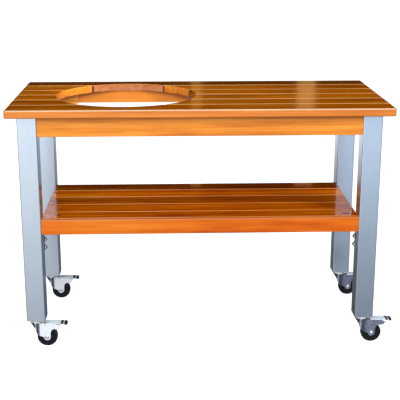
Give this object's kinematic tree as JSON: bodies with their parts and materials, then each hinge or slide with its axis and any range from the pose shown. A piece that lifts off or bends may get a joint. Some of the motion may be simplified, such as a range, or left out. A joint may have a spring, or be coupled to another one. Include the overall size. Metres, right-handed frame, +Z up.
{
  "type": "kamado grill table",
  "caption": "Rolling outdoor table with a varnished plank top, a round cut-out for a kamado grill, square aluminium legs, a plank shelf and braked casters.",
  "frame": {"origin": "on the floor, under the middle of the table's bounding box with the brake pedals pointing right", "axes": "+X along the table to the right, +Y to the rear, +Z up"},
  "size_m": [1.414, 0.658, 0.915],
  "materials": {
    "top_wood": "glossy varnish over straight-grained brown wood",
    "apron_wood": "satin varnish, lighter orange-brown",
    "shelf_wood": "glossy varnish",
    "rail_wood": "satin varnish, reddish orange",
    "leg_metal": "satin",
    "bracket_metal": "zinc plated",
    "caster_metal": "bright zinc plated",
    "wheel_black": "matte, moulded"
  },
  "bodies": {
    "table": {"top_plank_front": "top_wood", "top_plank_rear": "top_wood", "top_plank_2_left": "top_wood", "top_plank_2_right": "top_wood", "top_plank_3_left": "top_wood", "top_plank_3_right": "top_wood", "top_plank_4_left": "top_wood", "top_plank_4_right": "top_wood", "top_plank_5_left": "top_wood", "top_plank_5_right": "top_wood", "apron_front": "apron_wood", "apron_rear": "apron_wood", "apron_left": "apron_wood", "apron_right": "apron_wood", "batten_1": "apron_wood", "batten_2": "apron_wood", "corner_block_front_left": "apron_wood", "corner_block_front_right": "apron_wood", "corner_block_rear_left": "apron_wood", "corner_block_rear_right": "apron_wood", "shelf_plank_1": "shelf_wood", "shelf_plank_2": "shelf_wood", "shelf_plank_3": "shelf_wood", "shelf_plank_4": "shelf_wood", "shelf_plank_5": "shelf_wood", "shelf_cleat_left": "shelf_wood", "shelf_cleat_middle": "shelf_wood", "shelf_cleat_right": "shelf_wood", "shelf_rail_front": "rail_wood", "shelf_rail_rear": "rail_wood", "leg_front_left": "leg_metal", "leg_front_right": "leg_metal", "leg_rear_left": "leg_metal", "leg_rear_right": "leg_metal", "bracket_front_left": "bracket_metal", "bracket_front_right": "bracket_metal", "bracket_rear_left": "bracket_metal", "bracket_rear_right": "bracket_metal", "caster_plate_front_left": "caster_metal", "caster_plate_front_right": "caster_metal", "caster_plate_rear_left": "caster_metal", "caster_plate_rear_right": "caster_metal"},
    "fork_front_left": {"caster_fork_front_left": "caster_metal", "axle_front_left": "caster_metal"},
    "wheel_front_left": {"wheel_front_left": "wheel_black"},
    "pedal_front_left": {"brake_pedal_front_left": "caster_metal"},
    "fork_front_right": {"caster_fork_front_right": "caster_metal", "axle_front_right": "caster_metal"},
    "wheel_front_right": {"wheel_front_right": "wheel_black"},
    "pedal_front_right": {"brake_pedal_front_right": "caster_metal"},
    "fork_rear_left": {"caster_fork_rear_left": "caster_metal", "axle_rear_left": "caster_metal"},
    "wheel_rear_left": {"wheel_rear_left": "wheel_black"},
    "pedal_rear_left": {"brake_pedal_rear_left": "caster_metal"},
    "fork_rear_right": {"caster_fork_rear_right": "caster_metal", "axle_rear_right": "caster_metal"},
    "wheel_rear_right": {"wheel_rear_right": "wheel_black"},
    "pedal_rear_right": {"brake_pedal_rear_right": "caster_metal"}
  },
  "joints": [
    {"name": "swivel_front_left", "type": "hinge", "parent": "table", "child": "fork_front_left", "pos_m": [-0.636, -0.245, 0.1], "axis": [0, 0, 1], "continuous": true},
    {"name": "wheel_spin_front_left", "type": "hinge", "parent": "fork_front_left", "child": "wheel_front_left", "pos_m": [-0.6, -0.245, 0.038], "axis": [0, 1, 0], "continuous": true},
    {"name": "brake_front_left", "type": "hinge", "parent": "fork_front_left", "child": "pedal_front_left", "pos_m": [-0.574, -0.245, 0.083], "axis": [0, 1, 0], "range_deg": [0, 12]},
    {"name": "swivel_front_right", "type": "hinge", "parent": "table", "child": "fork_front_right", "pos_m": [0.594, -0.245, 0.1], "axis": [0, 0, 1], "continuous": true},
    {"name": "wheel_spin_front_right", "type": "hinge", "parent": "fork_front_right", "child": "wheel_front_right", "pos_m": [0.63, -0.245, 0.038], "axis": [0, 1, 0], "continuous": true},
    {"name": "brake_front_right", "type": "hinge", "parent": "fork_front_right", "child": "pedal_front_right", "pos_m": [0.656, -0.245, 0.083], "axis": [0, 1, 0], "range_deg": [0, 12]},
    {"name": "swivel_rear_left", "type": "hinge", "parent": "table", "child": "fork_rear_left", "pos_m": [-0.636, 0.245, 0.1], "axis": [0, 0, 1], "continuous": true},
    {"name": "wheel_spin_rear_left", "type": "hinge", "parent": "fork_rear_left", "child": "wheel_rear_left", "pos_m": [-0.6, 0.245, 0.038], "axis": [0, 1, 0], "continuous": true},
    {"name": "brake_rear_left", "type": "hinge", "parent": "fork_rear_left", "child": "pedal_rear_left", "pos_m": [-0.574, 0.245, 0.083], "axis": [0, 1, 0], "range_deg": [0, 12]},
    {"name": "swivel_rear_right", "type": "hinge", "parent": "table", "child": "fork_rear_right", "pos_m": [0.594, 0.245, 0.1], "axis": [0, 0, 1], "continuous": true},
    {"name": "wheel_spin_rear_right", "type": "hinge", "parent": "fork_rear_right", "child": "wheel_rear_right", "pos_m": [0.63, 0.245, 0.038], "axis": [0, 1, 0], "continuous": true},
    {"name": "brake_rear_right", "type": "hinge", "parent": "fork_rear_right", "child": "pedal_rear_right", "pos_m": [0.656, 0.245, 0.083], "axis": [0, 1, 0], "range_deg": [0, 12]}
  ]
}
